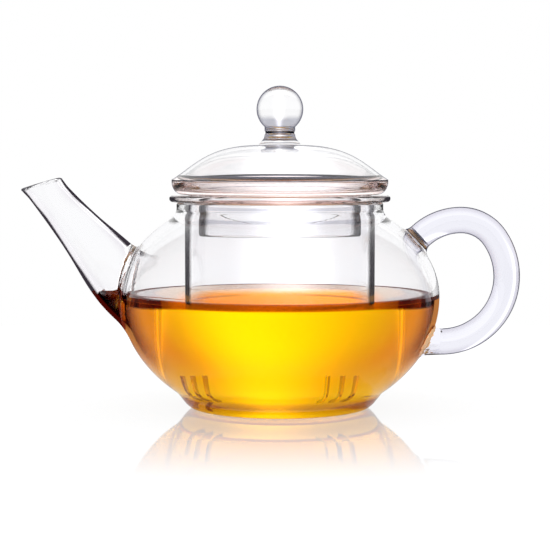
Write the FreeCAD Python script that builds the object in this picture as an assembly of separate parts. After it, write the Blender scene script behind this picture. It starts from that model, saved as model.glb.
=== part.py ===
import FreeCAD, Part
import math
import os

# Glass teapot with a lift-out infuser and a lift-off lid. Millimetres and degrees, +Z up.
# The origin is the centre of the flat foot. The spout points to -X and the handle to +X.

# Bowl: two half ellipses that meet at the belly, on a rolled foot, under a short neck
bowl_radius = 49.0
belly_height = 34.3
bowl_sink = 4.2
shoulder_rise = 32.6
bowl_wall = 1.8
bowl_floor = 2.2
foot_flat_radius = 25.5
foot_roll = 3.5
foot_waist = 4.3
foot_waist_height = 3.0
foot_height = 5.2
neck_wall = 1.5
neck_blend = 2.75
neck_blend_rise = 2.0
neck_height = 1.9
rim_round = 0.5

# Spout: a tapered tube about a straight slanted axis, seen from the point where that axis meets the bowl
spout_root_rise = 4.9
spout_slant = 40.0
spout_length = 39.0
spout_wall = 1.5
spout_heel_depth = 17.0
spout_heel_radius = 8.4
spout_root_radius = 9.9
spout_throat_reach = 20.6
spout_throat_radius = 7.0
spout_waist_setback = 4.4
spout_waist_radius = 5.75
spout_lip_reach = 6.0
spout_lip_radius = 6.4
spout_mouth_tilt = 16.5

# Handle: a solid round rod bent in four arcs that run into each other
handle_rod_radius = 4.05
handle_stand_off = 20.9
handle_apex_rise = 23.45
handle_shoulder_bend = 18.3
handle_shoulder_turn = 75.0
handle_crown_bend = 12.6
handle_crown_turn = 55.0
handle_side_bend = 21.2
handle_bow_bend = 20.0
handle_tail = 12.0

# Infuser: a straight tube with a dished bottom, saw-cut slits and a flange that hangs on the neck
infuser_radius = 29.15
infuser_wall = 1.6
infuser_neck_clearance = 1.05
infuser_stand_off = 4.8
infuser_corner = 3.6
flange_thickness = 2.0
flange_overhang = 2.2
flange_round = 0.9
flange_fillet = 0.7
slit_width = 0.9
slit_height = 9.0
slit_reach = 6.0
slit_groups = 4
slits_per_group = 3
slit_pitch = 9.4
slit_group_angle = 36.0

# Lid: a dome on a flared skirt, with a stem and a ball for the fingers
skirt_clearance = 2.65
skirt_wall = 1.5
skirt_depth = 12.6
skirt_fillet = 1.7
seat_land = 1.3
brim_setback = 0.7
brim_rise = 4.1
brim_edge = 0.45
brim_width = 2.0
dome_rise = 11.0
dome_wall = 1.5
dome_crown_pull = 16.0
dome_brim_pull = 8.0
dome_brim_slope = 31.0
stem_foot_radius = 6.3
stem_foot_height = 1.3
stem_cone_height = 2.5
stem_radius = 4.7
stem_height = 5.6
ball_radius = 7.15

# Clearance between a lifted piece and the seat that it rests on
seat_gap = 0.2

AXIS = FreeCAD.Vector(0, 0, 1)
ORIGIN = FreeCAD.Vector(0, 0, 0)


def at(radius, height):
    """A point of an outline, in the half plane that is turned about the axis."""
    return FreeCAD.Vector(radius, 0, height)


def line(start, end):
    return Part.LineSegment(start, end).toShape()


def bezier(*poles):
    curve = Part.BezierCurve()
    curve.setPoles(list(poles))
    return curve.toShape()


def smooth(*points):
    """One smooth curve through the given points."""
    curve = Part.BSplineCurve()
    curve.interpolate(list(points))
    return curve.toShape()


def corner_arc(start, corner, end):
    """A quarter circle from start to end, bulging towards the corner that it rounds off."""
    centre = start + end - corner
    middle = centre + (corner - centre) * math.sqrt(0.5)
    return Part.Arc(start, middle, end).toShape()


def quarter_ellipse(radius, rise):
    """A quarter ellipse from the belly's widest point to the axis, up or down by its rise."""
    curve = Part.BezierCurve()
    top = belly_height + rise
    curve.setPoles([at(radius, belly_height), at(radius, top), at(0, top)])
    curve.setWeight(2, math.sqrt(0.5))
    return curve


def ellipse_arc(radius, rise, start, end):
    """The stretch of a quarter ellipse between two of its points."""
    curve = quarter_ellipse(radius, rise)
    ends = sorted([curve.parameter(start), curve.parameter(end)])
    return curve.toShape(*ends)


def point_at_radius(radius, half_width, rise):
    return at(radius, belly_height + rise * math.sqrt(1 - (radius / half_width) ** 2))


def point_at_height(height, half_width, rise):
    return at(half_width * math.sqrt(1 - ((height - belly_height) / rise) ** 2), height)


def turned(edges):
    """The solid that a closed outline sweeps in a full turn about the upright axis."""
    wire = Part.Wire(Part.__sortEdges__(edges))
    return Part.Face(wire).revolve(ORIGIN, AXIS, 360)


def neck_curve(half_width, rise, neck_radius):
    """The blend from the shoulder's ellipse into the upright neck, with its two end points."""
    start = point_at_radius(neck_radius + neck_blend, half_width, rise)
    slope = (rise / half_width) ** 2 * start.x / (start.z - belly_height)
    knee = at(neck_radius, start.z + slope * neck_blend)
    end = at(neck_radius, knee.z + neck_blend_rise)
    return bezier(start, knee, end), start, end


# Sizes that follow from the driving ones
lower_depth = belly_height + bowl_sink
inner_radius = bowl_radius - bowl_wall
inner_rise = shoulder_rise - bowl_wall
inner_depth = lower_depth - bowl_wall
neck_bore = infuser_radius + infuser_neck_clearance
neck_radius = neck_bore + neck_wall
neck_outside, shoulder_end, neck_foot = neck_curve(bowl_radius, shoulder_rise, neck_radius)
neck_inside, inner_shoulder_end, inner_neck_foot = neck_curve(inner_radius, inner_rise, neck_bore)
rim_height = neck_foot.z + neck_height
flange_bottom = rim_height + seat_gap
flange_top = flange_bottom + flange_thickness
flange_radius = neck_radius + flange_overhang
infuser_bore = infuser_radius - infuser_wall
infuser_bottom = bowl_floor + infuser_stand_off
dish_top = infuser_bottom + infuser_corner
lid_seat = flange_top + seat_gap
skirt_radius = infuser_bore - skirt_clearance
skirt_bore = skirt_radius - skirt_wall
brim_height = lid_seat + brim_rise
brim_radius = flange_radius - brim_setback
crown_height = brim_height + dome_rise
stem_top = crown_height + stem_height
ball_height = stem_top + math.sqrt(ball_radius ** 2 - stem_radius ** 2)


def lower_outside():
    """The bowl's outer line from the axis over the rolled foot to the belly."""
    foot_end = point_at_height(foot_height, bowl_radius, -lower_depth)
    foot = bezier(
        at(foot_flat_radius, 0),
        at(foot_flat_radius + foot_roll, 0),
        at(foot_flat_radius + foot_waist, foot_waist_height),
        foot_end,
    )
    flank = ellipse_arc(bowl_radius, -lower_depth, foot_end, at(bowl_radius, belly_height))
    return [line(at(0, 0), at(foot_flat_radius, 0)), foot, flank]


def upper_outside():
    """The bowl's outer line from the belly over the shoulder to the foot of the neck."""
    shoulder = ellipse_arc(bowl_radius, shoulder_rise, at(bowl_radius, belly_height), shoulder_end)
    return [shoulder, neck_outside]


def bowl_envelope():
    """The whole bowl filled solid, which trims what is fused to its outside."""
    top = at(0, neck_foot.z)
    return turned(lower_outside() + upper_outside() + [line(neck_foot, top), line(top, at(0, 0))])


def pot_bowl():
    """The lower half of the blown bowl, a thick-bottomed dish that is open at the belly."""
    inner_belly = at(inner_radius, belly_height)
    floor_end = point_at_height(bowl_floor, inner_radius, -inner_depth)
    return turned(lower_outside() + [
        line(at(bowl_radius, belly_height), inner_belly),
        ellipse_arc(inner_radius, -inner_depth, inner_belly, floor_end),
        line(floor_end, at(0, bowl_floor)),
        line(at(0, bowl_floor), at(0, 0)),
    ])


def pot_shoulder():
    """The upper half of the blown bowl, which closes in to the neck and its ground rim."""
    inner_belly = at(inner_radius, belly_height)
    outer_edge = at(neck_radius, rim_height)
    inner_edge = at(neck_bore, rim_height)
    drop = at(0, -rim_round)
    step = at(rim_round, 0)
    return turned(upper_outside() + [
        line(neck_foot, outer_edge + drop),
        corner_arc(outer_edge + drop, outer_edge, outer_edge - step),
        line(outer_edge - step, inner_edge + step),
        corner_arc(inner_edge + step, inner_edge, inner_edge + drop),
        line(inner_edge + drop, inner_neck_foot),
        neck_inside,
        ellipse_arc(inner_radius, inner_rise, inner_shoulder_end, inner_belly),
        line(inner_belly, at(bowl_radius, belly_height)),
    ])


def spout_root():
    """The point where the spout's axis meets the bowl's outside."""
    rise = shoulder_rise if spout_root_rise > 0 else -lower_depth
    root = point_at_height(belly_height + spout_root_rise, bowl_radius, rise)
    return FreeCAD.Vector(-root.x, 0, root.z)


def spout_form(root, wall):
    """The spout's outside, or its bore where a wall is taken off, as one turned solid in its place."""
    far_end = spout_length + spout_lip_reach
    stations = [
        at(spout_heel_radius - wall, -spout_heel_depth),
        at(spout_root_radius - wall, 0),
        at(spout_throat_radius - wall, spout_throat_reach),
        at(spout_waist_radius - wall, spout_length - spout_waist_setback),
        at(spout_lip_radius - wall, far_end),
    ]
    heel = at(0, -spout_heel_depth)
    end = at(0, far_end)
    form = turned([
        smooth(*stations),
        line(heel, stations[0]),
        line(stations[-1], end),
        line(end, heel),
    ])
    form.rotate(ORIGIN, FreeCAD.Vector(0, 1, 0), -spout_slant)
    form.translate(root)
    return form


def above_mouth(root):
    """A block that takes off everything beyond the spout's slanted mouth."""
    slant = math.radians(spout_slant)
    mouth = root + FreeCAD.Vector(-math.sin(slant), 0, math.cos(slant)) * spout_length
    side = 2 * (spout_length + spout_lip_reach)
    block = Part.makeBox(side, side, side, FreeCAD.Vector(-side / 2, -side / 2, 0))
    block.rotate(ORIGIN, FreeCAD.Vector(0, 1, 0), -spout_mouth_tilt)
    block.translate(mouth)
    return block


def handle_rod():
    """The handle's rod from inside the shoulder over the crown and back into the lower bowl."""

    def way(degrees):
        """Straight up at no degrees, and towards +X at a quarter turn."""
        return at(math.sin(math.radians(degrees)), math.cos(math.radians(degrees)))

    crown = way(handle_crown_turn) * handle_crown_bend
    side = (way(90) - way(handle_crown_turn)) * handle_side_bend
    apex_x = bowl_radius + handle_stand_off - crown.x - side.x
    apex = at(apex_x, belly_height + handle_apex_rise)
    edges = []
    turn = -handle_shoulder_turn
    place = apex + (way(turn) - way(0)) * handle_shoulder_bend
    start = place
    for bend, end_turn in (
        (handle_shoulder_bend, 0),
        (handle_crown_bend, handle_crown_turn),
        (handle_side_bend, 90),
        (handle_bow_bend, 180),
    ):
        centre = place - way(turn) * bend
        end = centre + way(end_turn) * bend
        edges.append(Part.Arc(place, centre + way((turn + end_turn) / 2) * bend, end).toShape())
        place = end
        turn = end_turn
    edges.append(line(place, place - at(handle_tail, 0)))
    heading = way(90 - handle_shoulder_turn)
    section = Part.Wire(Part.makeCircle(handle_rod_radius, start, heading))
    return Part.Wire(edges).makePipeShell([section], True, False)


def slit_cutter():
    """All the saw cuts through the infuser's corner, as one group of thin upright plates."""
    reach = slit_reach + infuser_wall
    plate = Part.makeBox(
        reach,
        slit_width,
        slit_height + infuser_wall,
        FreeCAD.Vector(infuser_radius - slit_reach, -slit_width / 2, infuser_bottom - infuser_wall),
    )
    plates = []
    for group in range(slit_groups):
        middle = slit_group_angle + group * 360 / slit_groups
        for number in range(slits_per_group):
            cut = plate.copy()
            offset = (number - (slits_per_group - 1) / 2) * slit_pitch
            cut.rotate(ORIGIN, AXIS, middle + offset)
            plates.append(cut)
    return Part.makeCompound(plates)


def infuser_tube():
    height = flange_bottom - flange_fillet - dish_top
    foot = at(0, dish_top)
    outside = Part.makeCylinder(infuser_radius, height, foot)
    return outside.cut(Part.makeCylinder(infuser_bore, height, foot)).cut(slit_cutter())


def infuser_base():
    """The dished bottom: a flat floor that curves up into a short upright wall."""
    floor_top = infuser_bottom + infuser_wall
    flat = infuser_radius - infuser_corner
    outer_top = at(infuser_radius, dish_top)
    inner_top = at(infuser_bore, dish_top)
    dish = turned([
        line(at(0, infuser_bottom), at(flat, infuser_bottom)),
        corner_arc(at(flat, infuser_bottom), at(infuser_radius, infuser_bottom), outer_top),
        line(outer_top, inner_top),
        corner_arc(inner_top, at(infuser_bore, floor_top), at(flat, floor_top)),
        line(at(flat, floor_top), at(0, floor_top)),
        line(at(0, floor_top), at(0, infuser_bottom)),
    ])
    return dish.cut(slit_cutter())


def infuser_flange():
    """The flat ring that hangs on the neck, with a small fillet down to the tube."""
    throat = at(infuser_radius, flange_bottom - flange_fillet)
    under = at(infuser_radius + flange_fillet, flange_bottom)
    inner_foot = at(infuser_bore, throat.z)
    low_edge = at(flange_radius, flange_bottom)
    high_edge = at(flange_radius, flange_top)
    mouth_edge = at(infuser_bore, flange_top)
    step = at(flange_round, 0)
    lift = at(0, flange_round)
    return turned([
        line(inner_foot, throat),
        corner_arc(throat, at(infuser_radius, flange_bottom), under),
        line(under, low_edge - step),
        corner_arc(low_edge - step, low_edge, low_edge + lift),
        line(low_edge + lift, high_edge - lift),
        corner_arc(high_edge - lift, high_edge, high_edge - step),
        line(high_edge - step, mouth_edge + step),
        corner_arc(mouth_edge + step, mouth_edge, mouth_edge - lift),
        line(mouth_edge - lift, inner_foot),
    ])


def lid_dome():
    """The blown dome: a flat crown under the stem and one curve out to the brim, inside and outside."""
    slope = math.radians(dome_brim_slope)
    pull = at(-math.cos(slope), math.sin(slope)) * dome_brim_pull
    land = at(stem_foot_radius, crown_height)
    crown_pull = at(dome_crown_pull, 0)
    brim_top = at(brim_radius, brim_height + brim_edge)
    brim_low = at(brim_radius, brim_height)
    brim_in = at(brim_radius - brim_width, brim_height)
    inner_land = at(stem_foot_radius, crown_height - dome_wall)
    inner_top = at(0, crown_height - dome_wall)
    inner_pull = pull - at(dome_wall / 2, dome_wall / 2)
    return turned([
        line(at(0, crown_height), land),
        bezier(land, land + crown_pull, brim_top + pull, brim_top),
        line(brim_top, brim_low),
        line(brim_low, brim_in),
        bezier(brim_in, brim_in + inner_pull, inner_land + crown_pull, inner_land),
        line(inner_land, inner_top),
        line(inner_top, at(0, crown_height)),
    ])


def lid_skirt():
    """The open tube under the lid, which flares out over its seat and up to the brim."""
    bottom = lid_seat - skirt_depth
    seat_outer = at(infuser_bore + flange_round + seat_land, lid_seat)
    seat_inner = at(skirt_radius + skirt_fillet, lid_seat)
    throat = at(skirt_radius, lid_seat - skirt_fillet)
    brim_out = at(brim_radius, brim_height)
    brim_low = at(brim_radius, brim_height - brim_edge)
    brim_in = at(brim_radius - brim_width, brim_height)
    flare_low = at(brim_radius - brim_edge, lid_seat)
    flare_high = at(brim_radius, brim_low.z - brim_edge)
    inner_throat = at(skirt_bore, throat.z)
    inner_top = lid_seat + skirt_wall
    end_middle = at(skirt_radius - skirt_wall / 2, bottom)
    end_out = at(skirt_radius, bottom + skirt_wall / 2)
    end_in = at(skirt_bore, bottom + skirt_wall / 2)
    return turned([
        Part.Arc(end_in, end_middle, end_out).toShape(),
        line(end_out, throat),
        corner_arc(throat, at(skirt_radius, lid_seat), seat_inner),
        line(seat_inner, seat_outer),
        bezier(seat_outer, flare_low, flare_high, brim_low),
        line(brim_low, brim_out),
        line(brim_out, brim_in),
        bezier(brim_in, at(seat_outer.x, inner_top), at(skirt_bore, inner_top), inner_throat),
        line(inner_throat, end_in),
    ])


def lid_knob_stem():
    """A short cylinder on a cone, standing on the flat crown."""
    cone_bottom = crown_height + stem_foot_height
    cone_top = cone_bottom + stem_cone_height
    return turned([
        line(at(0, crown_height), at(stem_foot_radius, crown_height)),
        bezier(
            at(stem_foot_radius, crown_height),
            at(stem_foot_radius, cone_bottom),
            at(stem_radius, cone_bottom),
            at(stem_radius, cone_top),
        ),
        line(at(stem_radius, cone_top), at(stem_radius, stem_top)),
        line(at(stem_radius, stem_top), at(0, stem_top)),
        line(at(0, stem_top), at(0, crown_height)),
    ])


def lid_knob_ball():
    """A ball with a flat where it is fused to the stem."""
    ball = Part.makeSphere(ball_radius, at(0, ball_height))
    block = Part.makeBox(
        2 * ball_radius,
        2 * ball_radius,
        2 * ball_radius,
        FreeCAD.Vector(-ball_radius, -ball_radius, stem_top - 2 * ball_radius),
    )
    return ball.cut(block)


def build():
    envelope = bowl_envelope()
    root = spout_root()
    spout_outside = spout_form(root, 0).cut(above_mouth(root))
    spout_bore = spout_form(root, spout_wall)
    return {
        "pot_bowl": pot_bowl().cut(spout_bore),
        "pot_shoulder": pot_shoulder().cut(spout_bore),
        "pot_spout": spout_outside.cut(envelope).cut(spout_bore),
        "pot_handle": handle_rod().cut(envelope),
        "infuser_tube": infuser_tube(),
        "infuser_base": infuser_base(),
        "infuser_flange": infuser_flange(),
        "lid_dome": lid_dome(),
        "lid_skirt": lid_skirt(),
        "lid_knob_stem": lid_knob_stem(),
        "lid_knob_ball": lid_knob_ball(),
    }


os.makedirs("parts", exist_ok=True)
for name, shape in build().items():
    shape.exportStep(os.path.join("parts", name + ".step"))
    box = shape.BoundBox
    print(f"{name}: {len(shape.Solids)} solid, valid {shape.isValid()}, {shape.Volume:.0f} mm3, "
          f"x {box.XMin:.1f}..{box.XMax:.1f}, z {box.ZMin:.1f}..{box.ZMax:.1f}")
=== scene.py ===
# %% [markdown]
# # A glass teapot
# This is a small teapot of clear heat-proof glass: a blown bowl with a spout and a handle welded on, a
# glass infuser that hangs in its neck, and a domed lid with a ball on top. Tea stands in it up to the
# belly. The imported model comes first. It gives the place of every piece and the box that nothing may grow
# out of.

# %% Load the model and keep its box
import math

import bpy
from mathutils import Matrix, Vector
from mathutils.bvhtree import BVHTree
from mathutils.geometry import interpolate_bezier


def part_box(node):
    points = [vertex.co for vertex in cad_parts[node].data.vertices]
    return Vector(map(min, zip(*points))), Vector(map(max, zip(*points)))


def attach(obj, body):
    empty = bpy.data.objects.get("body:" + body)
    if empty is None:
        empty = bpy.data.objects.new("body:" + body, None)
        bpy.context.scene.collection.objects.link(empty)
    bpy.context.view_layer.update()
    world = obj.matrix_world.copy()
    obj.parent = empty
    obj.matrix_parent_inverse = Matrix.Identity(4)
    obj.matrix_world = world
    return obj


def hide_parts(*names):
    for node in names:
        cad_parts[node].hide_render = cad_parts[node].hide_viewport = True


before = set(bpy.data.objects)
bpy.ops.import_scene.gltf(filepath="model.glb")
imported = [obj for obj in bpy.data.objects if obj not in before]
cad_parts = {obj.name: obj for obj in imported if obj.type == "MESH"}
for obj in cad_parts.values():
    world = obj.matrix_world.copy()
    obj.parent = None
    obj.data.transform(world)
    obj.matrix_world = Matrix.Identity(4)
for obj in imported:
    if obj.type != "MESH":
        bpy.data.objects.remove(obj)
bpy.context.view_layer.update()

MM = 0.001

# %% [markdown]
# ## The camera
# The camera stands half a metre away, level with the lid's brim. The brim is therefore a straight line,
# the tea below it a thin ellipse and the foot a rounder one. The lens follows from how wide a field it
# has to see at the pot's axis.

# %% Camera
view_distance = 520 * MM
eye_height = 75 * MM
aim = Vector((-1.5 * MM, 0, 40.8 * MM))
field_width = 169.5 * MM

bpy.ops.object.camera_add(location=(aim.x, -view_distance, eye_height))
camera = bpy.context.object
sight = aim - camera.location
camera.rotation_euler = sight.to_track_quat("-Z", "Y").to_euler()
camera.data.lens = camera.data.sensor_width * sight.length / field_width
bpy.context.scene.camera = camera
down = math.degrees(math.asin(-sight.normalized().z))
print(f"lens {camera.data.lens:.1f} mm, looking down {down:.1f} degrees")

# %% [markdown]
# ## Sizes
# Heights and radii that the model already has are read from its boxes. What a box can't tell, such as a
# wall or the roll of the foot, is written here once in millimetres, as the glass blower would hold it.

# %% Sizes read from the model
bowl_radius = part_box("pot_shoulder")[1].y
belly_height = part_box("pot_shoulder")[0].z
rim_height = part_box("pot_shoulder")[1].z
infuser_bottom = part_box("infuser_base")[0].z
infuser_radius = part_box("infuser_base")[1].y
flange_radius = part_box("infuser_flange")[1].x
flange_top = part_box("infuser_flange")[1].z
brim_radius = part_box("lid_dome")[1].x
brim_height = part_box("lid_dome")[0].z
crown_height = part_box("lid_knob_stem")[0].z
ball_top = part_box("lid_knob_ball")[1].z
skirt_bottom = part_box("lid_skirt")[0].z
handle_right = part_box("pot_handle")[1].x
handle_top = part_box("pot_handle")[1].z
print(f"bowl {2 * bowl_radius / MM:.1f} mm wide, rim at {rim_height / MM:.1f}, ball top at "
      f"{ball_top / MM:.1f}")

# %% [markdown]
# ## Drawing outlines
# Nearly everything on this pot is turned: a line drawn in the half plane y = 0 and swept round the axis.
# Each outline is put together from stretches. A Bezier curve gives free bends, and with the right pull at
# its two ends the same curve is a quarter circle, which rounds corners.

# %% Outline helpers
QUARTER_PULL = 0.5523
MERGE = 0.002 * MM


def at(radius, height):
    """A point of an outline."""
    return Vector((radius, 0, height))


def bezier(start, pull_start, pull_end, end, steps=16):
    return interpolate_bezier(start, pull_start, pull_end, end, steps + 1)


def bend(start, knee, end, steps=10):
    """A curve that leaves start towards the knee and reaches end coming from the knee."""
    return bezier(start, start.lerp(knee, 2 / 3), end.lerp(knee, 2 / 3), end, steps)


def rounded(start, corner, end, steps=6):
    """A quarter circle in place of a corner."""
    return bezier(start, start.lerp(corner, QUARTER_PULL), end.lerp(corner, QUARTER_PULL), end, steps)


def straight(start, end, steps=1):
    return [start.lerp(end, number / steps) for number in range(steps + 1)]


def through(points, steps=12):
    """A smooth curve through all the points."""
    ends = [2 * points[0] - points[1]] + points + [2 * points[-1] - points[-2]]
    curve = []
    for before, start, end, after in zip(ends, ends[1:], ends[2:], ends[3:]):
        span = (end - start).length
        leave = (end - before) * span / (span + (start - before).length)
        reach = (after - start) * span / ((after - end).length + span)
        curve += bezier(start, start + leave / 3, end - reach / 3, end, steps)
    return curve


def chain(*stretches):
    """One outline from stretches that meet end to end."""
    points = [stretches[0][0]]
    for stretch in stretches:
        points += [point for point in stretch if (point - points[-1]).length > MERGE]
    return points


# %% [markdown]
# ## The lathe
# By hand, a turned piece starts as one vertex that is extruded along the outline and then spun. Here a
# small plane is merged to that first vertex. Spinning leaves a seam and many points on the axis, so
# doubles are merged, and only then are the faces turned outwards.

# %% Lathe helper
def close_up():
    """Merges the seam and the points on the axis, turns all faces outwards and leaves edit mode."""
    bpy.ops.mesh.select_all(action="SELECT")
    bpy.ops.mesh.remove_doubles(threshold=MERGE)
    bpy.ops.mesh.normals_make_consistent(inside=False)
    bpy.ops.object.mode_set(mode="OBJECT")


def lathe(name, points, steps, centre=(0, 0, 0), axis=(0, 0, 1)):
    bpy.ops.mesh.primitive_plane_add(size=MM)
    piece = bpy.context.object
    piece.name = name
    bpy.ops.object.mode_set(mode="EDIT")
    bpy.ops.mesh.merge(type="CENTER")
    bpy.ops.transform.translate(value=points[0])
    for here, there in zip(points, points[1:]):
        bpy.ops.mesh.extrude_vertices_move(TRANSFORM_OT_translate={"value": there - here})
    bpy.ops.mesh.select_all(action="SELECT")
    bpy.ops.mesh.spin(steps=steps, angle=2 * math.pi, center=centre, axis=axis)
    close_up()
    print(f"{name}: {len(points)} points spun in {steps} steps, {len(piece.data.polygons)} faces")
    return piece


# %% [markdown]
# ## The blown bowl
# The bowl is two half ellipses that meet at the belly, on a rolled foot and under a short neck. Inside
# and outside are drawn as two separate filled forms. The spout and the handle can then be welded to the
# outside, the spout's bore can be welded to the inside, and one cut at the end gives a wall that is clean
# all over.

# %% Bowl outlines
bowl_wall = 1.8 * MM
bowl_floor = 2.2 * MM
bowl_sink = 4.2 * MM
shoulder_rise = 32.6 * MM
foot_flat_radius = 25.5 * MM
foot_roll = 3.5 * MM
foot_waist = 4.3 * MM
foot_waist_height = 3.0 * MM
foot_height = 5.2 * MM
neck_wall = 1.5 * MM
neck_clearance = 1.05 * MM
neck_blend = 2.75 * MM
neck_blend_rise = 2.0 * MM
rim_round = 0.5 * MM
floor_blend = 4.0 * MM
neck_bore = infuser_radius + neck_clearance
neck_radius = neck_bore + neck_wall
lower_depth = belly_height + bowl_sink
bowl_steps = 240
shoulder_points = 36
flank_points = 48


def belly_curve(half_width, rise, from_turn, to_turn, steps):
    """A stretch of an ellipse, from the belly at turn 0 to the axis at a quarter turn."""
    turns = [from_turn + (to_turn - from_turn) * number / steps for number in range(steps + 1)]
    return [at(half_width * math.cos(turn), belly_height + rise * math.sin(turn)) for turn in turns]


def neck_curve(half_width, rise, radius):
    """The shoulder from the belly up and its blend into the upright neck."""
    turn = math.acos((radius + neck_blend) / half_width)
    shoulder = belly_curve(half_width, rise, 0, turn, shoulder_points)
    start = shoulder[-1]
    slope = (rise / half_width) ** 2 * start.x / (start.z - belly_height)
    knee = at(radius, start.z + slope * neck_blend)
    return chain(shoulder, bend(start, knee, knee + at(0, neck_blend_rise)))


def bowl_outside():
    foot_turn = math.asin((belly_height - foot_height) / lower_depth)
    flank = belly_curve(bowl_radius, -lower_depth, foot_turn, 0, flank_points)
    foot = bezier(
        at(foot_flat_radius, 0),
        at(foot_flat_radius + foot_roll, 0),
        at(foot_flat_radius + foot_waist, foot_waist_height),
        flank[0],
    )
    neck = neck_curve(bowl_radius, shoulder_rise, neck_radius)
    edge = at(neck_radius, rim_height)
    rim = rounded(edge - at(0, rim_round), edge, edge - at(rim_round, 0))
    return chain([at(0, 0)], foot, flank, neck, rim, [at(0, rim_height)])


def bowl_inside(grow=0):
    """The hollow of the bowl. Growing it sinks its skin a little into the wall."""
    half_width = bowl_radius - bowl_wall + grow
    depth = lower_depth - bowl_wall + grow
    floor = bowl_floor - grow
    floor_turn = math.asin((belly_height - floor) / depth)
    blend_turn = floor_turn - floor_blend / half_width
    flank = belly_curve(half_width, -depth, blend_turn, 0, flank_points)
    knee = at(half_width * math.cos(floor_turn), floor)
    floor_curve = bend(knee - at(floor_blend, 0), knee, flank[0])
    neck = neck_curve(half_width, shoulder_rise - bowl_wall + grow, neck_bore + grow)
    edge = at(neck_bore + grow, rim_height)
    rim = rounded(edge - at(0, rim_round), edge, edge + at(rim_round, 0))
    above = rim_height + bowl_wall
    return chain([at(0, floor)], floor_curve, flank, neck, rim, [at(rim[-1].x, above), at(0, above)])


pot = lathe("pot_glass", bowl_outside(), bowl_steps)
hollow = lathe("hollow", bowl_inside(), bowl_steps)

# %% [markdown]
# ## The spout
# The spout is a tapered tube, drawn hot from a piece of tubing, about a straight axis that leans away
# from the bowl. It is spun about that slanted axis. Its mouth is cut nearly level, not square to the
# axis, so the last part of the tube is slid along the axis by a share that grows towards the mouth. A
# bisect would cut slivers there instead.

# %% Spout outlines
spout_root_rise = 4.9 * MM
spout_slant = math.radians(40)
spout_length = 39.0 * MM
spout_wall = 1.5 * MM
spout_lip_round = 0.7 * MM
spout_heel = (-17.0 * MM, 8.4 * MM)
spout_root = (0, 9.9 * MM)
spout_throat = (20.6 * MM, 7.0 * MM)
spout_waist = (34.6 * MM, 5.75 * MM)
spout_lip = (spout_length, 5.95 * MM)
mouth_tilt = math.radians(16.5)
mouth_slide_start = 12 * MM
spout_steps = 120

root_reach = bowl_radius * math.sqrt(1 - (spout_root_rise / shoulder_rise) ** 2)
root = Vector((-root_reach, 0, belly_height + spout_root_rise))
spout_way = Vector((-math.sin(spout_slant), 0, math.cos(spout_slant)))
spout_side = Vector((math.cos(spout_slant), 0, math.sin(spout_slant)))
mouth_normal = Vector((-math.sin(mouth_tilt), 0, math.cos(mouth_tilt)))


def spout_curve(inset):
    stations = [spout_heel, spout_root, spout_throat, spout_waist, spout_lip]
    return through([at(radius - inset, along) for along, radius in stations])


def spout_outside():
    curve = spout_curve(0)
    edge = curve[-1]
    lip = rounded(edge - at(0, spout_lip_round), edge, edge - at(spout_lip_round, 0))
    body = [point for point in curve if point.z < lip[0].z]
    return chain([at(0, body[0].z)], body, lip, [at(0, spout_length)])


def spout_bore(grow=0):
    curve = spout_curve(spout_wall - grow)
    edge = curve[-1]
    lip = rounded(edge - at(0, spout_lip_round), edge, edge + at(spout_lip_round, 0))
    body = [point for point in curve if point.z < lip[0].z]
    above = spout_length + 2 * spout_wall
    return chain([at(0, body[0].z)], body, lip, [at(lip[-1].x, above), at(0, above)])


def slanted(points):
    """Lays an outline beside the spout's own axis."""
    return [root + spout_side * point.x + spout_way * point.z for point in points]


def tilt_mouth(piece):
    for vertex in piece.data.vertices:
        along = (vertex.co - root).dot(spout_way)
        sideways = vertex.co - root - spout_way * along
        share = min(max((along - mouth_slide_start) / (spout_length - mouth_slide_start), 0), 1)
        share = share * share * (3 - 2 * share)
        slide = -sideways.dot(mouth_normal) / spout_way.dot(mouth_normal)
        vertex.co += spout_way * slide * share


def turned_spout(name, points):
    piece = lathe(name, slanted(points), spout_steps, centre=root, axis=spout_way)
    tilt_mouth(piece)
    return piece


spout = turned_spout("spout", spout_outside())
bore = turned_spout("bore", spout_bore())

# %% [markdown]
# ## The handle
# The handle is a solid round rod, bent hot in four arcs that run into each other. A ring of vertices
# starts inside the shoulder, and each arc is one spin of that ring about the centre of the bend. From one
# arc to the next the centre only moves along the rod's own radius there, so the rod never kinks. The
# straight tail at the end runs into the lower bowl.

# %% Handle rod
rod_radius = 4.05 * MM
shoulder_turn = 75
tail = 12 * MM
rod_steps = 64
# each bend: its radius, the turn in degrees at which it ends, and its steps
rod_bends = [
    (18.3 * MM, 0, 40),
    (12.6 * MM, 55, 28),
    (21.2 * MM, 90, 20),
    (20.0 * MM, 180, 56),
]


def way(degrees):
    """Straight up at no degrees, and towards +X at a quarter turn."""
    return at(math.sin(math.radians(degrees)), math.cos(math.radians(degrees)))


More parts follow.
